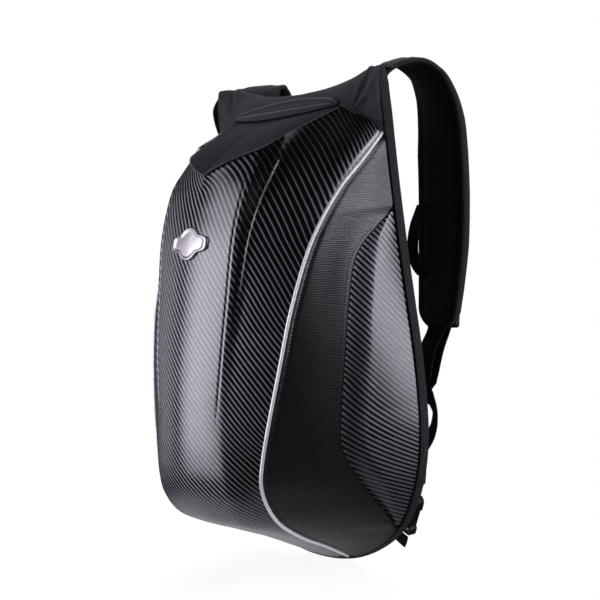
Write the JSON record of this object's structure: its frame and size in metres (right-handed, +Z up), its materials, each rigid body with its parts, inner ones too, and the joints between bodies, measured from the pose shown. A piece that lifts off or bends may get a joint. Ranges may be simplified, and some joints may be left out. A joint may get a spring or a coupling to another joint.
{
  "type": "motorcycle backpack",
  "caption": "Motorcycle backpack with a moulded carbon-look front shell, cloth sides with moulded inserts, covered top zip, padded back panel and padded shoulder straps",
  "frame": {"origin": "middle of the back panel's outer face, where the wearer's back rests", "axes": "+Z up along the back, -Y out through the front shell, +Y towards the wearer, +X to the wearer's right"},
  "size_m": [0.3248, 0.2818, 0.5341],
  "materials": {
    "carbon_shell": "gloss, carbon-look twill",
    "top_cloth": "matte fine weave",
    "side_cloth": "matte woven nylon",
    "reflective_piping": "satin silver",
    "cord": "matte",
    "back_mesh": "matte spacer mesh",
    "binding_tape": "matte ribbed tape",
    "webbing": "matte ribbed webbing",
    "black_plastic": "satin",
    "badge_metal": "brushed"
  },
  "bodies": {
    "root": {"shell": "carbon_shell", "side_insert_right": "carbon_shell", "side_insert_left": "carbon_shell", "top_flap": "top_cloth", "zip_flap": "top_cloth", "yoke": "top_cloth", "side_panel_right": "side_cloth", "side_panel_left": "side_cloth", "piping_right": "reflective_piping", "piping_left": "reflective_piping", "insert_cord_right": "cord", "insert_cord_left": "cord", "back_panel": "back_mesh", "shoulder_strap_right": "back_mesh", "shoulder_strap_left": "back_mesh", "edge_binding": "binding_tape", "strap_webbing_right": "webbing", "strap_webbing_left": "webbing", "strap_tail_right": "webbing", "strap_tail_left": "webbing", "chest_loop_right": "webbing", "chest_loop_left": "webbing", "waist_tab_right": "webbing", "waist_tab_left": "webbing", "waist_strap_right": "webbing", "waist_strap_left": "webbing", "strap_adjuster_right": "black_plastic", "strap_adjuster_left": "black_plastic", "waist_buckle_right": "black_plastic", "waist_buckle_left": "black_plastic", "badge": "badge_metal"}
  },
  "joints": []
}
